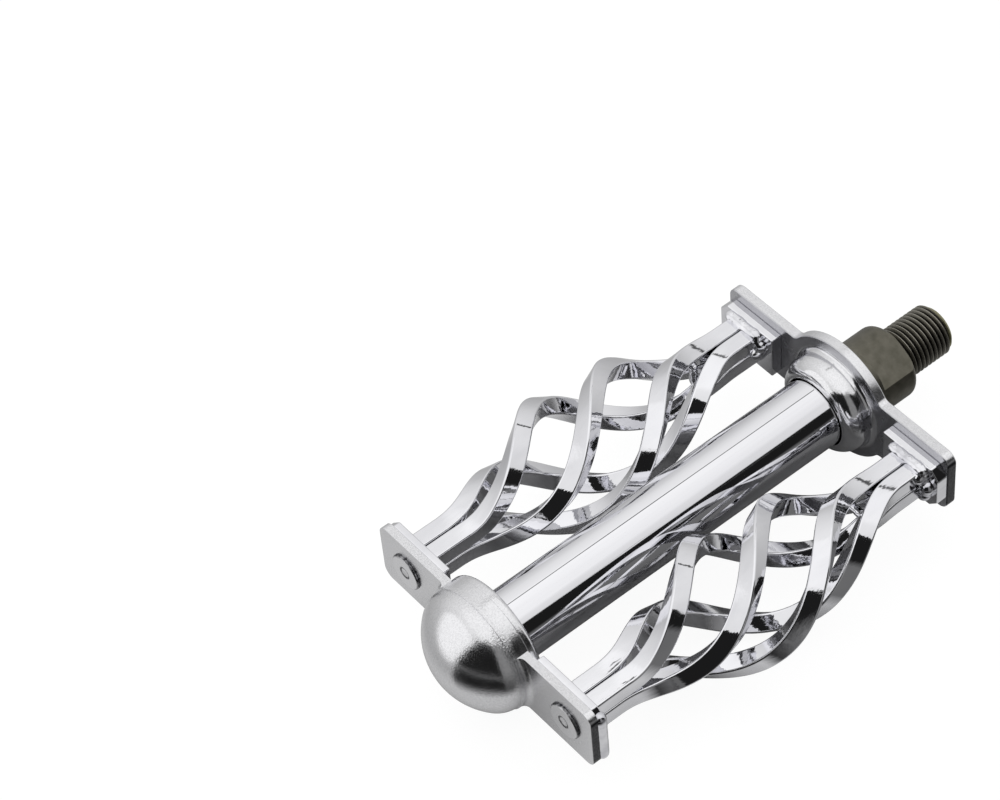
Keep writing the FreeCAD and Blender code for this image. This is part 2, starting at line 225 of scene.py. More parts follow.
def make_satin_chrome(name, grain_size, grain_height, rim_roughness, tube_side_shade_colour, middle_roughness,
                      middle_radius):
    """Satin plate on pressed steel, smoother inside a radius round the spindle."""
    material, tree, place = new_material(name)
    forward, along, _ = add_node(tree, "SeparateXYZ", [place]).outputs
    radius = axis_distance(tree, place)
    in_rim = add_node(tree, "MapRange", [radius, middle_radius * MM, (middle_radius + middle_blend) * MM])
    # Painted shade: the strap's rim is painted a darker grey on its side that faces the tube.
    towards_tube = add_node(tree, "MapRange", [along, (inner_strap_face + shaded_face_reach) * MM,
                                               (inner_strap_face + shaded_face_full) * MM])
    shaded_side = add_node(tree, "Math", [in_rim, towards_tube], operation="MULTIPLY")
    with_shaded_side = add_node(tree, "Mix", {0: shaded_side, 6: linear_colour(satin_colour), 7: linear_colour(tube_side_shade_colour)},
                     data_type="RGBA")
    # Painted shade: dark in the corner round the tube and at the straps' front ends.
    corner_shaded = add_node(tree, "Mix", {0: strap_painted_shade(tree, forward, along, radius), 6: with_shaded_side,
                                   7: linear_colour("#242426")}, data_type="RGBA")
    grain = add_node(tree, "TexNoise", {"Vector": place, "Scale": pattern_scale(grain_size), "Detail": 3.0})
    speckle = add_node(tree, "MapRange", [grain, 0.4, 0.65, 0.0, speckle_strength])
    colour = add_node(tree, "Mix", {0: speckle, 6: corner_shaded, 7: linear_colour("#9A9A9E")}, data_type="RGBA")

    finish = add_node(tree, "Mix", {0: in_rim, 2: middle_roughness, 3: rim_roughness})
    blotches = add_node(tree, "TexNoise",
                        {"Vector": place, "Scale": pattern_scale(blotch_size), "Detail": 5.0})
    uneven = add_node(tree, "MapRange", [blotches, 0.3, 0.7, 0.85, 1.15])
    roughness = add_node(tree, "Math", [finish, uneven], operation="MULTIPLY")

    past_crease = add_node(tree, "Math", [along, dome_crease_along * MM], operation="SUBTRACT")
    off_crease = add_node(tree, "Math", [past_crease], operation="ABSOLUTE")
    scuffed = add_node(tree, "MapRange",
                       [off_crease, scuff_reach * MM, scuff_full * MM, 1.0, scuff_strength])
    relief = add_node(tree, "Math", [grain, scuffed], operation="MULTIPLY")
    bump = add_node(tree, "Bump", {"Height": relief, "Strength": 1.0, "Distance": grain_height * MM})
    shader = add_node(tree, "BsdfPrincipled",
                      {"Metallic": 1.0, "Base Color": colour, "Roughness": roughness, "Normal": bump})
    add_node(tree, "OutputMaterial", {"Surface": shader})
    return material


inner_strap_chrome = make_satin_chrome("satin_chrome_on_inner_strap", grain_size=0.3, grain_height=0.006,
                                       rim_roughness=0.25, tube_side_shade_colour="#C4C4C8", middle_roughness=0.12,
                                       middle_radius=cup_outer_radius)
outer_strap_chrome = make_satin_chrome("satin_chrome_on_outer_strap", grain_size=0.4, grain_height=0.026,
                                       rim_roughness=0.24, tube_side_shade_colour=satin_colour, middle_roughness=0.17,
                                       middle_radius=dome_outer_radius)
print("satin chrome:", inner_strap_chrome.name, outer_strap_chrome.name)

# %% [markdown]
# ## Rivet chrome
# The rivets have the same satin plate. Their heads have a dimple left by the riveting punch, and shade is
# painted dark, in patches, into its rim and round the edge of the head. Both are rings about the rivet's own
# axis. Front and rear rivets stand equally far from the middle, so the size of X alone serves both.

# %% Rivet chrome
dimple_rim_radius = 1.4
dimple_shade_reach = 0.35
dimple_shade_full = 0.15
head_shade_reach = 4.1
head_shade_full = 4.4
rivet_blotch_size = 0.8


def make_rivet_chrome(name, rivet_x):
    """Satin chrome with painted shade in the rim of a rivet's dimple and round the edge of its head."""
    material, tree, place = new_material(name)
    x, _, z = add_node(tree, "SeparateXYZ", [place]).outputs
    from_middle = add_node(tree, "Math", [x], operation="ABSOLUTE")
    aside = add_node(tree, "Math", [from_middle, rivet_x * MM], operation="SUBTRACT")
    z_square = add_node(tree, "Math", [z, z], operation="MULTIPLY")
    square = add_node(tree, "Math", [aside, aside, z_square], operation="MULTIPLY_ADD")
    radius = add_node(tree, "Math", [square], operation="SQRT")
    # Painted shade: dark rings at the rim of the dimple and round the edge of the head, in patches.
    past_rim = add_node(tree, "Math", [radius, dimple_rim_radius * MM], operation="SUBTRACT")
    off_rim = add_node(tree, "Math", [past_rim], operation="ABSOLUTE")
    in_dimple = add_node(tree, "MapRange", [off_rim, dimple_shade_reach * MM, dimple_shade_full * MM])
    at_edge = add_node(tree, "MapRange", [radius, head_shade_reach * MM, head_shade_full * MM])
    rings = add_node(tree, "Math", [in_dimple, at_edge], operation="MAXIMUM")
    blotches = add_node(tree, "TexNoise",
                        {"Vector": place, "Scale": pattern_scale(rivet_blotch_size), "Detail": 4.0})
    patchy = add_node(tree, "MapRange", [blotches, 0.3, 0.6, 0.45, 1.0])
    rivet_shade = add_node(tree, "Math", [rings, patchy], operation="MULTIPLY")
    colours = {0: rivet_shade, 6: linear_colour(satin_colour), 7: linear_colour("#3A3A3E")}
    shader = add_node(tree, "BsdfPrincipled", {
        "Metallic": 1.0,
        "Base Color": add_node(tree, "Mix", colours, data_type="RGBA"),
        "Roughness": add_node(tree, "MapRange", [rivet_shade, 0, 1, 0.22, 0.4]),
    })
    add_node(tree, "OutputMaterial", {"Surface": shader})
    return material


rivet_chrome = make_rivet_chrome("satin_chrome_on_rivet", rivet_x=(plate_low.x + plate_high.x) / 2)
print("rivet chrome:", rivet_chrome.name)

# %% [markdown]
# ## Steel and bronze
# The spindle isn't plated. It is turned steel under a dark oil finish, olive grey where it is smooth. The
# bushes are bronze, and the washers and nut are plain steel. On all of them a film of oil makes soft patches
# a few millimetres across.

# %% Steel and bronze
oil_patch_size = 2.5


def make_oiled_metal(name, pale, dark, low_roughness, high_roughness):
    """Bare metal whose oil film makes soft patches of two colours and two roughnesses."""
    material, tree, place = new_material(name)
    oil = add_node(tree, "TexNoise",
                   {"Vector": place, "Scale": pattern_scale(oil_patch_size), "Detail": 6.0})
    film = add_node(tree, "ValToRGB", [oil])
    for stop, position, colour in zip(film.color_ramp.elements, (0.3, 0.7), (dark, pale)):
        stop.position = position
        stop.color = linear_colour(colour)
    roughness = add_node(tree, "MapRange", [oil, 0, 1, low_roughness, high_roughness])
    shader = add_node(tree, "BsdfPrincipled",
                      {"Metallic": 1.0, "Base Color": film, "Roughness": roughness})
    add_node(tree, "OutputMaterial", {"Surface": shader})
    return material


spindle_steel = make_oiled_metal("oiled_spindle_steel", "#77746A", "#5D5B51", 0.32, 0.46)
washer_steel = make_oiled_metal("washer_steel", "#B9B7B2", "#8F8D88", 0.25, 0.4)
bush_bronze = make_oiled_metal("bearing_bronze", "#C8955A", "#9A6B3A", 0.25, 0.4)
print("metals:", spindle_steel.name, washer_steel.name, bush_bronze.name)

# %% [markdown]
# ## Thread steel
# On the thread the colour runs from black at the roots to pale at the crests, and follows from one thing:
# how far a point is from the axis. The chamfer at the tip is rubbed to a yellowish tint, and the end face is
# plain steel.

# %% Thread steel
thread_radius = 6.35
thread_pitch = 25.4 / 20
thread_depth = 0.61 * thread_pitch
thread_end = box_mm("spindle")[1].y
thread_chamfer = 1.2
thread_oil_size = 1.2
face_blend = 0.2


def make_thread_steel(name):
    """Oiled steel that runs from black at the thread's roots to pale at its crests."""
    material, tree, place = new_material(name)
    radius = axis_distance(tree, place)
    height = add_node(tree, "MapRange", [radius, (thread_radius - thread_depth) * MM, thread_radius * MM])
    film = add_node(tree, "ValToRGB", [height])
    for stop, colour in zip(film.color_ramp.elements, ("#1E1B1A", "#A09D93")):
        stop.color = linear_colour(colour)
    along = add_node(tree, "SeparateXYZ", [place]).outputs["Y"]
    at_tip = add_node(tree, "MapRange", [along, (thread_end - thread_chamfer) * MM,
                                         (thread_end - thread_chamfer / 2) * MM])
    rubbed = add_node(tree, "Mix", {0: at_tip, 6: film, 7: linear_colour("#A8A47A")}, data_type="RGBA")
    face_radius = thread_radius - thread_chamfer
    on_face = add_node(tree, "MapRange", [radius, face_radius * MM, (face_radius - face_blend) * MM])
    colour = add_node(tree, "Mix", {0: on_face, 6: rubbed, 7: linear_colour("#77746A")}, data_type="RGBA")
    oil = add_node(tree, "TexNoise",
                   {"Vector": place, "Scale": pattern_scale(thread_oil_size), "Detail": 4.0})
    worn = add_node(tree, "Math", [height, oil, -0.25], operation="MULTIPLY_ADD")
    roughness = add_node(tree, "MapRange", [worn, 0, 1, 0.42, 0.3])
    shader = add_node(tree, "BsdfPrincipled",
                      {"Metallic": 1.0, "Base Color": colour, "Roughness": roughness})
    add_node(tree, "OutputMaterial", {"Surface": shader})
    return material


thread_steel = make_thread_steel("oiled_thread_steel")
print("thread steel:", thread_steel.name, "with ridges", round(thread_depth, 2), "mm high")

# %% [markdown]
# ## From mesh to piece
# Meshes are drawn in millimetres, as on a workshop drawing, and scaled to metres at the end. Each piece then
# gets smooth shading with creases kept sharp, its material, and the body that it moves with. The weighted
# normals modifier keeps the flat faces looking flat beside their rounded edges.

# %% Piece helper
def finish_piece(name, bm, material, body, stands_for=None):
    """Make an object of a mesh drawn in millimetres, give it its material, and tie it to its body and solid.
    """
    bmesh.ops.recalc_face_normals(bm, faces=bm.faces)
    bmesh.ops.scale(bm, vec=(MM, MM, MM), verts=bm.verts)
    mesh = bpy.data.meshes.new(name)
    bm.to_mesh(mesh)
    bm.free()
    mesh.shade_smooth()
    mesh.set_sharp_from_angle(angle=math.radians(40))
    mesh.materials.append(material)
    piece = bpy.data.objects.new(name, mesh)
    bpy.context.scene.collection.objects.link(piece)
    piece.modifiers.new("even_normals", "WEIGHTED_NORMAL").keep_sharp = True
    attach(piece, body)
    if stands_for:
        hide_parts(stands_for)
    print(name, len(mesh.polygons), "faces")
    return piece


# %% [markdown]
# ## Pressed and turned pieces with soft edges
# A solid's edges are knife sharp, but tumbling and plating always leave a small radius, and on chrome that
# radius is what draws the bright line along every edge. Each solid's mesh is copied, its loose triangles
# are merged, flat areas are dissolved into single faces, and the sharp edges that remain are bevelled. The
# cup of the inner strap is also drawn in a little, because the press made it slimmer than its solid.

# %% Softened copies of the solids
cup_foot_radius = 14.7
cup_slimness = 0.8
strap_edge = 0.3
disc_edge = 0.2
rivet_edge = 0.15
inner_plate_edge = 1.1
outer_plate_edge = 0.85


def merged_copy(node):
    """A solid's mesh in millimetres, with its triangles joined and its flat areas made single faces."""
    bm = bmesh.new()
    bm.from_mesh(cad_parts[node].data)
    bmesh.ops.scale(bm, vec=Vector((1, 1, 1)) / MM, verts=bm.verts)
    bmesh.ops.remove_doubles(bm, verts=bm.verts, dist=0.002)
    bmesh.ops.dissolve_limit(bm, angle_limit=math.radians(0.5), verts=bm.verts, edges=bm.edges)
    return bm


def soften(bm, width):
    """Round the sharp edges of a mesh by a width in millimetres."""
    crease = math.radians(28)
    sharp = [edge for edge in bm.edges if edge.is_manifold and edge.calc_face_angle() > crease]
    bmesh.ops.bevel(bm, geom=sharp, offset=width, offset_type="OFFSET", affect="EDGES", segments=3,
                    profile=0.5, material=-1, clamp_overlap=True)


def draw_in_cup(bm):
    """Draw the cup of the inner strap in towards the tube, which leaves a flat ring round it."""
    for vert in bm.verts:
        radius = math.hypot(vert.co.x, vert.co.z)
        if vert.co.y < inner_strap_face + 0.01 and tube_radius + 0.1 < radius < cup_foot_radius:
            share = (tube_radius + (radius - tube_radius) * cup_slimness) / radius
            vert.co.x *= share
            vert.co.z *= share


def add_softened(node, width, material, reshape=None):
    """A visible piece that is a solid with its sharp edges rounded."""
    bm = merged_copy(node)
    if reshape:
        reshape(bm)
    soften(bm, width)
    finish_piece(node + "_softened", bm, material, "pedal_body", stands_for=node)


add_softened("inner_end_strap", strap_edge, inner_strap_chrome, draw_in_cup)
add_softened("outer_end_strap", strap_edge, outer_strap_chrome)
add_softened("outer_end_disc", disc_edge, outer_strap_chrome)
for strap in ("inner", "outer"):
    add_softened(strap + "_rivets", rivet_edge, rivet_chrome)
for cage in ("front", "rear"):
    add_softened(cage + "_cage_inner_plate", inner_plate_edge, bar_chrome)
    add_softened(cage + "_cage_outer_plate", outer_plate_edge, bar_chrome)

# %% [markdown]
# ## The tube
# The tube between the end straps is drawn steel. Its outline is a plain rectangle with softened corners,
# spun once round the axis in enough steps that the long straight reflections stay smooth.

# %% Centre tube
tube_wall = 1.5
tube_edge = 0.3
tube_steps = 192


def spin_outline(outline, steps):
    """Spin a closed outline of (radius, along) points once round the Y axis."""
    bm = bmesh.new()
    corners = [bm.verts.new((radius, along, 0)) for radius, along in outline]
    sides = [bm.edges.new(pair) for pair in zip(corners, corners[1:] + corners[:1])]
    bmesh.ops.spin(bm, geom=corners + sides, cent=(0, 0, 0), axis=(0, 1, 0), angle=2 * math.pi, steps=steps,
                   use_merge=True)
    return bm


tube_outline = [
    (tube_radius - tube_wall, tube_low.y),
    (tube_radius - tube_edge, tube_low.y),
    (tube_radius, tube_low.y + tube_edge),
    (tube_radius, tube_high.y - tube_edge),
    (tube_radius - tube_edge, tube_high.y),
    (tube_radius - tube_wall, tube_high.y),
]
finish_piece("center_tube_polished", spin_outline(tube_outline, tube_steps), tube_chrome, "pedal_body",
             stands_for="center_tube")

# %% [markdown]
# ## The course of a cage bar
# Each cage is four square bars that start as a tight bundle, swell into a basket and turn three quarters of
# a full turn on the way. On the real pedal the bundle is welded at both ends and twisted while hot, and the
# bars spring apart as it is pushed together. Here two curves along the cage's axis give a bar's course: how
# far out it lies, and how far it has turned.

# %% Course of a bar
bar_width = 4.3
bar_gap = 0.25
bars_per_cage = 4
bundle_outer_length = 7.7
bundle_inner_length = 6.7
basket_fullness = 0.15
basket_turn = 270
twist_lag = 3.2
twist_ease = 6

bar_low, bar_high = box_mm("front_cage_bar_1")
bar_reach = bar_width / math.sqrt(2)
bundle_radius = (bar_width + bar_gap) / math.sqrt(2)
basket_radius = cad_high.z / MM - bar_reach
belly_start = bar_low.y + bundle_outer_length
belly_end = bar_high.y - bundle_inner_length
twist_start = belly_start + twist_lag


def share_between(value, start, end):
    """How far a value has gone from start to end, kept between 0 and 1."""
    return min(max((value - start) / (end - start), 0), 1)


def eased(share, ease):
    """Even way from 0 to 1 that starts and stops gently over the given share of it."""
    speed = 1 / (1 - ease)
    if share < ease:
        return speed * share ** 2 / (2 * ease)
    if share > 1 - ease:
        return 1 - speed * (1 - share) ** 2 / (2 * ease)
    return speed * (share - ease / 2)


def cage_middle(cage):
    """Where a cage's axis crosses the X axis, from the plate that is centred on it."""
    low, high = box_mm(cage + "_cage_inner_plate")
    return (low.x + high.x) / 2


def bar_outwards(along, number):
    """Direction from the cage's axis to a bar, at a place along the axis."""
    twist = share_between(along, twist_start, belly_end)
    turn = basket_turn * eased(twist, twist_ease / (belly_end - twist_start))
    angle = math.radians(45 + 360 / bars_per_cage * number + turn)
    return Vector((math.cos(angle), 0, math.sin(angle)))


def bar_centre(along, number, cage):
    """Middle of a bar's section at a place along the cage's axis."""
    rise = (1 - math.cos(2 * math.pi * share_between(along, belly_start, belly_end))) / 2
    rise *= 1 + basket_fullness * (1 - rise)
    radius = bundle_radius + (basket_radius - bundle_radius) * rise
    return Vector((cage_middle(cage), along, 0)) + bar_outwards(along, number) * radius


print("basket radius", round(basket_radius, 2), "mm over", round(belly_end - belly_start, 2), "mm")

# %% [markdown]
# ## The cage bars
# A rounded square is extruded step by step, as a bar is rolled. Each new section is moved to its place on
# the bar's course and turned square to it, with one corner always away from the cage's axis, so the bar
# twists as it goes round.

# %% Cage bars
bar_edge_radius = 0.5
bar_steps = 150


def section_place(along, number, cage):
    """Place of a section: its corner points away from the cage's axis, its face along the bar's course."""
    small_step = 0.05
    ahead = bar_centre(along + small_step, number, cage)
    behind = bar_centre(along - small_step, number, cage)
    course = (ahead - behind).normalized()
    sideways = course.cross(bar_outwards(along, number)).normalized()
    outwards = sideways.cross(course)
    turn = Matrix((outwards, sideways, course)).transposed().to_4x4()
    return Matrix.Translation(bar_centre(along, number, cage)) @ turn


def extrude_along(bm, face, places):
    """Extrude a face from the first place to each of the others in turn."""
    for here, there in zip(places, places[1:]):
        grown = bmesh.ops.extrude_face_region(bm, geom=[face, *face.edges])["geom"]
        corners = [part for part in grown if isinstance(part, bmesh.types.BMVert)]
        face = next(part for part in grown if isinstance(part, bmesh.types.BMFace))
        bmesh.ops.transform(bm, matrix=there @ here.inverted(), verts=corners)


def add_bar(number, cage):
    """One bar of a cage, as a rounded square extruded along its course."""
    length = bar_high.y - bar_low.y
    stations = [bar_low.y + length * step / bar_steps for step in range(bar_steps + 1)]
    places = [section_place(along, number, cage) for along in stations]
    bm = bmesh.new()
    corners = bmesh.ops.create_circle(bm, cap_ends=True, segments=4, radius=bar_reach)["verts"]
    bmesh.ops.bevel(bm, geom=corners, offset=bar_edge_radius, offset_type="OFFSET", affect="VERTICES",
                    segments=3, profile=0.5, material=-1)
    bmesh.ops.transform(bm, matrix=places[0], verts=bm.verts)
    bm.faces.ensure_lookup_table()
    extrude_along(bm, bm.faces[0], places)
    node = f"{cage}_cage_bar_{number + 1}"
    finish_piece(node + "_polished", bm, bar_chrome, "pedal_body", stands_for=node)


for cage in ("front", "rear"):
    for number in range(bars_per_cage):
        add_bar(number, cage)

# %% [markdown]
# ## The spindle and its thread
# The spindle's collar and flats come from its solid, cut off at the shoulder. The thread is a zigzag outline
# spun round the axis while it moves along by one pitch a turn, which is how a lathe cuts it. The start of
# each turn then meets the end of the one before, and the meeting points are merged. Points near the end are
# drawn in towards the axis for the chamfer that helps the thread to start.

# %% Spindle and thread
thread_steps = 96
thread_sunk = 0.5
turns_before_shoulder = 2
turns_past_tip = 1
just_past_shoulder = 0.01
collar_edge = 0.25


def cut_off(bm, along, side):
    """Cut a mesh square to the Y axis, drop the part on that side, and close the cut."""
    everything = bm.verts[:] + bm.edges[:] + bm.faces[:]
    cut = bmesh.ops.bisect_plane(bm, geom=everything, dist=1e-4, plane_co=(0, along, 0),
                                 plane_no=(0, side, 0), clear_outer=True)["geom_cut"]
    rim = [part for part in cut if isinstance(part, bmesh.types.BMEdge)]
    bmesh.ops.holes_fill(bm, edges=rim)


def thread_outline():
    """Points (radius, along) of the zigzag, from inside the shoulder to past the tip."""
    crest_width = thread_pitch / 8
    flank_width = thread_depth * math.tan(math.radians(30))
    root_width = thread_pitch - crest_width - 2 * flank_width
    root_radius = thread_radius - thread_depth
    turns = turns_before_shoulder + math.ceil(thread_end / thread_pitch) + turns_past_tip
    outline = []
    for turn in range(turns):
        start = (turn - turns_before_shoulder) * thread_pitch
        crest = start + root_width + flank_width
        outline += [(root_radius, start), (root_radius, start + root_width),
                    (thread_radius, crest), (thread_radius, crest + crest_width)]
    return outline


def make_thread():
    """The threaded end, from just inside the shoulder to the chamfered tip."""
    bm = bmesh.new()
    corners = [bm.verts.new((radius, along, 0)) for radius, along in thread_outline()]
    sides = [bm.edges.new(pair) for pair in zip(corners, corners[1:])]
    bmesh.ops.spin(bm, geom=corners + sides, cent=(0, 0, 0), axis=(0, 1, 0), angle=2 * math.pi,
                   dvec=(0, thread_pitch / thread_steps, 0), steps=thread_steps, use_merge=False)
    bmesh.ops.remove_doubles(bm, verts=bm.verts, dist=0.005)
    for vert in bm.verts:
        limit = thread_radius - max(0, vert.co.y - (thread_end - thread_chamfer))
        radius = math.hypot(vert.co.x, vert.co.z)
        if radius > limit:
            vert.co.x *= limit / radius
            vert.co.z *= limit / radius
    cut_off(bm, thread_end, 1)
    cut_off(bm, -thread_sunk, -1)
    return bm


spindle_mesh = merged_copy("spindle")
cut_off(spindle_mesh, just_past_shoulder, 1)
soften(spindle_mesh, collar_edge)
finish_piece("spindle_turned", spindle_mesh, spindle_steel, "spindle_body",
             stands_for="spindle")
finish_piece("spindle_thread", make_thread(), thread_steel, "spindle_body")

# %% [markdown]
# ## Weld metal
# Weld metal is a row of droplets that froze into each other. So runs and heaps of overlapping balls, a
# little different in size, are fused by a voxel remesh and smoothed until only soft lumps are left.

# %% Weld helpers
weld_random = random.Random(7)
weld_voxel = 0.2
ball_spacing = 0.3
settle_steps = 26


def add_ball(bm, place, radius):
    """One ball of weld metal."""
    bmesh.ops.create_icosphere(bm, subdivisions=2, radius=radius, matrix=Matrix.Translation(place))


def add_run(bm, start, end, radius, unevenness=0.07):
    """A run of closely overlapping balls from one point to another, uneven by a share of their radius."""
    balls = math.ceil((end - start).length / (ball_spacing * radius))
    for number in range(balls + 1):
        stray = Vector([weld_random.uniform(-unevenness, unevenness) for _ in range(3)])
        swell = 1 + weld_random.uniform(-unevenness, unevenness)
        add_ball(bm, start.lerp(end, number / balls) + stray * radius, radius * swell)


def add_heap(bm, middle, spread, radius, balls):
    """A rough heap of balls, scattered over a box."""
    for _ in range(balls):
        stray = Vector([weld_random.uniform(-reach, reach) for reach in spread])
        add_ball(bm, middle + stray, radius * weld_random.uniform(0.7, 1.2))


def finish_weld(name, bm):
    """Fuse the balls of a weld into one smooth skin."""
    weld = finish_piece(name, bm, weld_chrome, "pedal_body")
    remesh = weld.modifiers.new("fuse", "REMESH")
    remesh.mode = "VOXEL"
    remesh.voxel_size = weld_voxel * MM
    remesh.use_smooth_shade = True
    smooth = weld.modifiers.new("settle", "SMOOTH")
    smooth.factor = 0.5
    smooth.iterations = settle_steps


print("weld metal in voxels of", weld_voxel, "mm")

# %% [markdown]
# ## Welds on the cages
# Each bundle is welded to its plates by hand. At the crank end a thick bead lies over the top, a rough heap
# sits on the front side and a thinner run goes down the rear side. At the outer end there are only small
# lumps at the corners, and a run down the end of the front plate.

# %% Welds on the cages
bundle_half = bar_width + bar_gap / 2
crank_weld_inset = 0.7
bead_radius = 1.6
bead_lift = 0.2
rear_run_radius = 1.0
heap_place = Vector((bundle_half + 0.6, -0.2, 0.3))
heap_spread = (1.1, 0.8, 3.2)
heap_ball_radius = 1.7
heap_balls = 9
outer_weld_inset = 0.4
lump_drop = 0.6
lump_spread = (0.8, 0.4, 0.8)
lump_ball_radius = 0.75
lump_balls = 5
plate_run_inset = Vector((0.8, 0.9, 2.4))
plate_run_length = 12
plate_run_radius = 1.6


def add_crank_end_weld(cage):
    """The bead over the top of a bundle, the run down its rear side and the heap on its front side."""
    middle = Vector((cage_middle(cage), bar_high.y - crank_weld_inset, 0))
    bm = bmesh.new()
    rear_top = middle + Vector((-bundle_half, 0, bundle_half + bead_lift))
    front_top = middle + Vector((bundle_half, 0, bundle_half + bead_lift))
    add_run(bm, rear_top, front_top, bead_radius)
    add_run(bm, rear_top, rear_top - Vector((0, 0, 2 * bundle_half)), rear_run_radius)
    add_heap(bm, middle + heap_place, heap_spread, heap_ball_radius, heap_balls)
    finish_weld(cage + "_cage_crank_end_weld", bm)


def add_outer_end_weld(cage):
    """Small lumps at the four corners of a bundle, against its outer plate."""
    middle = Vector((cage_middle(cage), bar_low.y + outer_weld_inset, 0))
    bm = bmesh.new()
    for side in (-1, 1):
        for level in (-1, 1):
            corner = middle + Vector((side * bundle_half, 0, level * (bundle_half - lump_drop)))
            add_heap(bm, corner, lump_spread, lump_ball_radius, lump_balls)
    finish_weld(cage + "_cage_outer_end_weld", bm)


def add_plate_end_weld():
    """The run down the end of the front outer plate."""
    top = box_mm("front_cage_outer_plate")[1] - plate_run_inset
    bm = bmesh.new()
    add_run(bm, top, top - Vector((0, 0, plate_run_length)), plate_run_radius, unevenness=0.015)
    finish_weld("front_cage_plate_end_weld", bm)


for cage in ("front", "rear"):
    add_crank_end_weld(cage)
    add_outer_end_weld(cage)
add_plate_end_weld()

# %% [markdown]
# ## The tack inside each basket
# Just inside the neck of each basket a short slug of weld metal ties two opposite bars together, so that
# they can't rattle. It is a short run of balls, fused as one, and so it ends in a round drop.

# %% Tacks
tack_along = 36
tack_radius = 1.15
tack_half_length = 2.2


def add_tack(cage, direction):
    """A slug of weld metal across the neck of a basket."""
    middle = Vector((cage_middle(cage), -tack_along, 0))
    bm = bmesh.new()
    add_run(bm, middle - direction * tack_half_length, middle + direction * tack_half_length, tack_radius)
    finish_weld(cage + "_cage_tack", bm)


add_tack("front", Vector((1, 0, 0)))
add_tack("rear", Vector((0, 0, 1)))

# %% [markdown]
# ## Pieces that stay as they are
# The bushes, washers and nut sit inside the cup and the dome, where only a sliver can be seen, so their
# solids are shown as they are and only given their metals.

# %% Hidden metals
for node, material in {"inner_bush": bush_bronze, "outer_bush": bush_bronze,
                       "inner_thrust_washer": washer_steel, "outer_thrust_washer": washer_steel,
                       "lock_nut": washer_steel}.items():
    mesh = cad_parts[node].data
    mesh.materials.clear()
    mesh.materials.append(material)
    print(node, "is", material.name)

# %% [markdown]
# ## The studio
# Chrome shows the room, so the room is the lighting. The room is a world painted by direction: soft walls
# that are darker towards the ground, a bright panel at the front left, and a seam between two ceiling panels
# that draws the thin dark line along the tube.

# %% Studio walls
wall_greys = {-90: 0.75, -60: 0.6, -30: 0.43, 0: 0.56, 15: 0.71, 52: 0.89, 57: 1.0, 90: 1.04}
panel_aim = Vector((-0.41, -0.87, 0.26)).normalized()
panel_edge = math.cos(math.radians(42))
panel_core = math.cos(math.radians(28))
panel_grey = 1.04
seam_side = Vector((1, 0, 0.487)).normalized()
seam_core = 0.012
seam_edge = 0.028
seam_grey = 0.12
seam_lowest = 0.3
seam_full_height = 0.35
seam_front = -0.05
seam_full_back = 0.1

scene = bpy.context.scene
world = bpy.data.worlds.new("studio")
scene.world = world
world.use_nodes = True
studio = world.node_tree
studio.nodes.clear()
direction = add_node(studio, "TexCoord").outputs["Generated"]
to_right, to_back, height = add_node(studio, "SeparateXYZ", [direction]).outputs

walls = add_node(studio, "ValToRGB", [add_node(studio, "MapRange", [height, -1, 1])])
stops = walls.color_ramp.elements
while len(stops) < len(wall_greys):
    stops.new(0.5)
for stop, (angle, grey) in zip(stops, wall_greys.items()):
    stop.position = (math.sin(math.radians(angle)) + 1) / 2
    stop.color = (grey, grey, grey, 1)

towards_panel = add_node(studio, "VectorMath", [direction, panel_aim], operation="DOT_PRODUCT")
panel = add_node(studio, "MapRange", [towards_panel, panel_edge, panel_core, 0.0, panel_grey])
lit = add_node(studio, "Math", [walls, panel], operation="MAXIMUM")

past_seam = add_node(studio, "VectorMath", [direction, seam_side], operation="DOT_PRODUCT")
off_seam = add_node(studio, "Math", [past_seam], operation="ABSOLUTE")
seam = add_node(studio, "MapRange", [off_seam, seam_core, seam_edge, seam_grey, 1.0])
overhead = add_node(studio, "MapRange", [height, seam_lowest, seam_full_height])
at_back = add_node(studio, "MapRange", [to_back, seam_front, seam_full_back])
seam_part = add_node(studio, "Math", [overhead, at_back], operation="MULTIPLY")
seam_overhead = add_node(studio, "Mix", {0: seam_part, 2: 1.0, 3: seam})
room = add_node(studio, "Math", [lit, seam_overhead], operation="MULTIPLY")
print("studio walls:", len(stops), "greys from the ground to overhead")

# %% [markdown]
# ## The dark side of the studio
# Without something dark to mirror, chrome looks like white plastic. So a black card stands on the camera's
# side of the room, from just left of the dome's end to the crank. Its top edge is highest in the middle and
# ragged, which gives the dark patches on the bars their torn edges. Its places are given by azimuth and
# elevation in degrees.

# %% Dark card
card_azimuth = 68
card_half_width = 74
card_top = 52
card_top_blend = 2
card_foot = -44
card_foot_blend = 8
card_fall = 4
ragged_half = 7
tear_scale = 14.0

to_front = add_node(studio, "Math", [to_back, -1], operation="MULTIPLY")
turned = add_node(studio, "Math", [to_right, to_front], operation="ARCTAN2")
azimuth = add_node(studio, "Math", [turned], operation="DEGREES")
raised = add_node(studio, "Math", [height], operation="ARCSINE")
elevation = add_node(studio, "Math", [raised], operation="DEGREES")

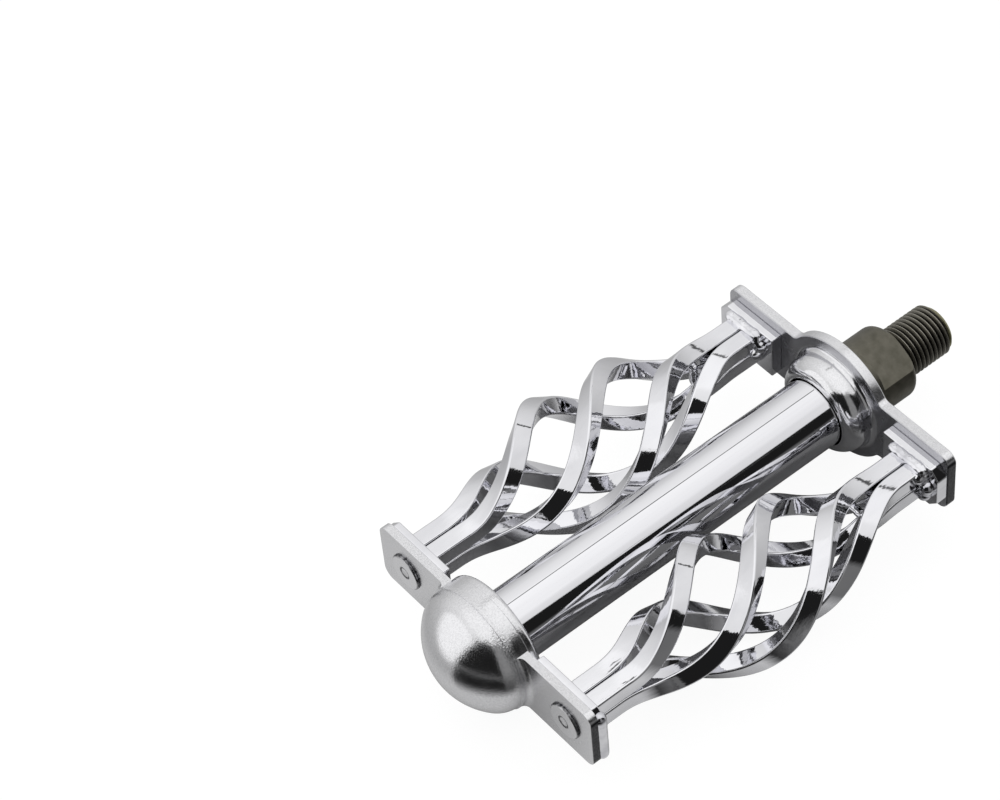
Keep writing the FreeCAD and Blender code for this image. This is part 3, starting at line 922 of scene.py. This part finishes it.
from_card = add_node(studio, "Math", [azimuth, card_azimuth], operation="SUBTRACT")
across = add_node(studio, "Math", [from_card, card_half_width], operation="DIVIDE")
off_middle = add_node(studio, "Math", [across], operation="ABSOLUTE")
falling = add_node(studio, "Math", [off_middle, card_fall], operation="POWER")
top_edge = add_node(studio, "Math", [falling, -card_top, card_top], operation="MULTIPLY_ADD")
tears = add_node(studio, "TexNoise", {"Vector": direction, "Scale": tear_scale, "Detail": 5.0})
ragged = add_node(studio, "MapRange", [tears, 0.3, 0.7, -ragged_half, ragged_half])
torn_edge = add_node(studio, "Math", [top_edge, ragged], operation="ADD")
under_edge = add_node(studio, "Math", [torn_edge, elevation], operation="SUBTRACT")
below_edge = add_node(studio, "MapRange", [under_edge, 0, card_top_blend])
above_foot = add_node(studio, "MapRange",
                      [elevation, card_foot - card_foot_blend, card_foot + card_foot_blend])
card = add_node(studio, "Math", [below_edge, above_foot], operation="MULTIPLY")
print("dark card from azimuth", card_azimuth - card_half_width, "to", card_azimuth + card_half_width)

# %% [markdown]
# ## What lightens the dark side
# A card that is evenly black looks cut out. A grey strip on it is the gap that the camera looks through, a
# faint line is the edge of the table, and low down on the right the card is greyer. The camera itself sees
# plain white.

# %% Lights on the dark card
card_black = 0.012
strip_azimuth = 80
strip_edge = 20
strip_core = 14
strip_low = -35
strip_high = 0
strip_low_grey = 0.05
strip_high_grey = 0.24
right_start = 84
right_full = 92
low_start = 12
low_full = 4
low_right_grey = 0.15
table_edge_elevation = -14
table_edge_reach = 4.5
table_edge_core = 2
table_edge_grey = 0.13

from_strip = add_node(studio, "Math", [azimuth, strip_azimuth], operation="SUBTRACT")
off_strip = add_node(studio, "Math", [from_strip], operation="ABSOLUTE")
strip = add_node(studio, "MapRange", [off_strip, strip_edge, strip_core])
strip_grey = add_node(studio, "MapRange",
                      [elevation, strip_low, strip_high, strip_low_grey, strip_high_grey])
strip_light = add_node(studio, "Math", [strip, strip_grey], operation="MULTIPLY")

on_right = add_node(studio, "MapRange", [azimuth, right_start, right_full])
low_grey = add_node(studio, "MapRange", [elevation, low_start, low_full, 0, low_right_grey])
low_right = add_node(studio, "Math", [on_right, low_grey], operation="MULTIPLY")

past_table_edge = add_node(studio, "Math", [elevation, table_edge_elevation], operation="SUBTRACT")
off_table_edge = add_node(studio, "Math", [past_table_edge], operation="ABSOLUTE")
table_edge = add_node(studio, "MapRange",
                      [off_table_edge, table_edge_reach, table_edge_core, card_black, table_edge_grey])

strip_or_right = add_node(studio, "Math", [strip_light, low_right], operation="MAXIMUM")
card_light = add_node(studio, "Math", [table_edge, strip_or_right], operation="MAXIMUM")
mirrored = add_node(studio, "Mix", {0: card, 2: room, 3: card_light})
camera_ray = add_node(studio, "LightPath").outputs["Is Camera Ray"]
seen = add_node(studio, "Mix", {0: camera_ray, 2: mirrored, 3: 1.0})
background = add_node(studio, "Background", {"Color": seen, "Strength": 1.0})
add_node(studio, "OutputWorld", {"Surface": background})
print("studio nodes:", len(studio.nodes))

# %% [markdown]
# ## The floor
# The pedal lies on a plain white sheet. The camera sees it lifted to white, with only a trace of the shadow.
# Mirror reflections see the sheet only under the pedal, where it is painted dark grey as painted shade, and
# that grey with the sheet's real shade darkens the undersides of the bars and the hollow behind the strap.
# Further out they see the studio. The fibres of paper are a hundredth of a millimetre thick. They are
# drawn as clumps of half a millimetre.

# %% Floor
floor_half = 3.0
fibre_size = 0.5
shade_edge = 1.15
shade_core = 0.75
shaded_sheet_greys = (0.25, 0.31)
faint_greys = (0.12, 0.14)
camera_lift = 0.93


def add_to_stage(name, bm, material):
    """An object of the studio, which isn't part of the pedal."""
    mesh = bpy.data.meshes.new(name)
    bm.to_mesh(mesh)
    bm.free()
    mesh.materials.append(material)
    thing = bpy.data.objects.new(name, mesh)
    scene.collection.objects.link(thing)


def outside_shade(tree, place):
    """0 under the pedal, 1 outside an ellipse round its box, and a soft edge between them."""
    middle = (cad_low + cad_high) / 2
    half = (cad_high - cad_low) / 2
    from_middle = add_node(tree, "VectorMath", [place, middle], operation="SUBTRACT")
    shares = add_node(tree, "VectorMath", [from_middle, (1 / half.x, 1 / half.y, 0)], operation="MULTIPLY")
    reach = add_node(tree, "VectorMath", [shares], operation="LENGTH")
    return add_node(tree, "MapRange", [reach, shade_core, shade_edge])


def make_floor_white():
    """Sheet lifted to white for the camera; mirror reflections see it only under the pedal, in dark grey as
    painted shade.
    """
    material, tree, place = new_material("paper_white_to_camera_with_painted_shade")
    rays = add_node(tree, "LightPath").outputs
    fibres = add_node(tree, "TexNoise", {"Vector": place, "Scale": pattern_scale(fibre_size)})
    # Painted shade: mirror reflections see the sheet under the pedal in this dark grey, not white.
    paper = add_node(tree, "MapRange", [fibres, 0, 1, *shaded_sheet_greys])
    faint = add_node(tree, "MapRange", [fibres, 0, 1, *faint_greys])
    grey = add_node(tree, "Mix", {0: rays["Is Camera Ray"], 2: paper, 3: faint})
    sheet = add_node(tree, "BsdfDiffuse", {"Color": grey})
    lift = add_node(tree, "Math", [rays["Is Camera Ray"], camera_lift], operation="MULTIPLY")
    glow = add_node(tree, "Emission", {"Strength": lift})
    both = add_node(tree, "AddShader", [sheet, glow])
    outside = outside_shade(tree, place)
    hidden = add_node(tree, "Math", [rays["Is Glossy Ray"], outside], operation="MULTIPLY")
    mix = add_node(tree, "MixShader", [hidden, both, add_node(tree, "BsdfTransparent")])
    add_node(tree, "OutputMaterial", {"Surface": mix})
    return material


bm = bmesh.new()
bmesh.ops.create_grid(bm, size=floor_half, matrix=Matrix.Translation((0, 0, cad_low.z)))
add_to_stage("floor", bm, make_floor_white())
print("floor at", round(cad_low.z / MM, 2), "mm")

# %% [markdown]
# ## The camera
# The camera stands above and to one side, close to where the photograph was taken from, with a long lens so
# that the far end of the pedal isn't drawn much smaller than the near end. It is turned a few degrees about
# its own view line, as a hand-held camera would be.

# %% Camera
camera_place = Vector((373.4, -369.7, 598.9)) * MM
camera_aim = Vector((-50.7, -73.15, 0.2)) * MM
camera_roll = math.radians(-6.03)

back = (camera_place - camera_aim).normalized()
level_right = Vector((0, 0, 1)).cross(back).normalized()
level_up = back.cross(level_right)
right = level_right * math.cos(camera_roll) + level_up * math.sin(camera_roll)
up = back.cross(right)
camera = bpy.data.objects.new("camera", bpy.data.cameras.new("camera"))
camera.data.lens = 126
camera.data.sensor_width = 36
camera.data.sensor_fit = "HORIZONTAL"
camera.matrix_world = Matrix.Translation(camera_place) @ Matrix((right, up, back)).transposed().to_4x4()
scene.collection.objects.link(camera)
scene.camera = camera
scene.view_settings.view_transform = "Standard"
print("camera", round((camera_place - camera_aim).length, 3), "m from its aim")
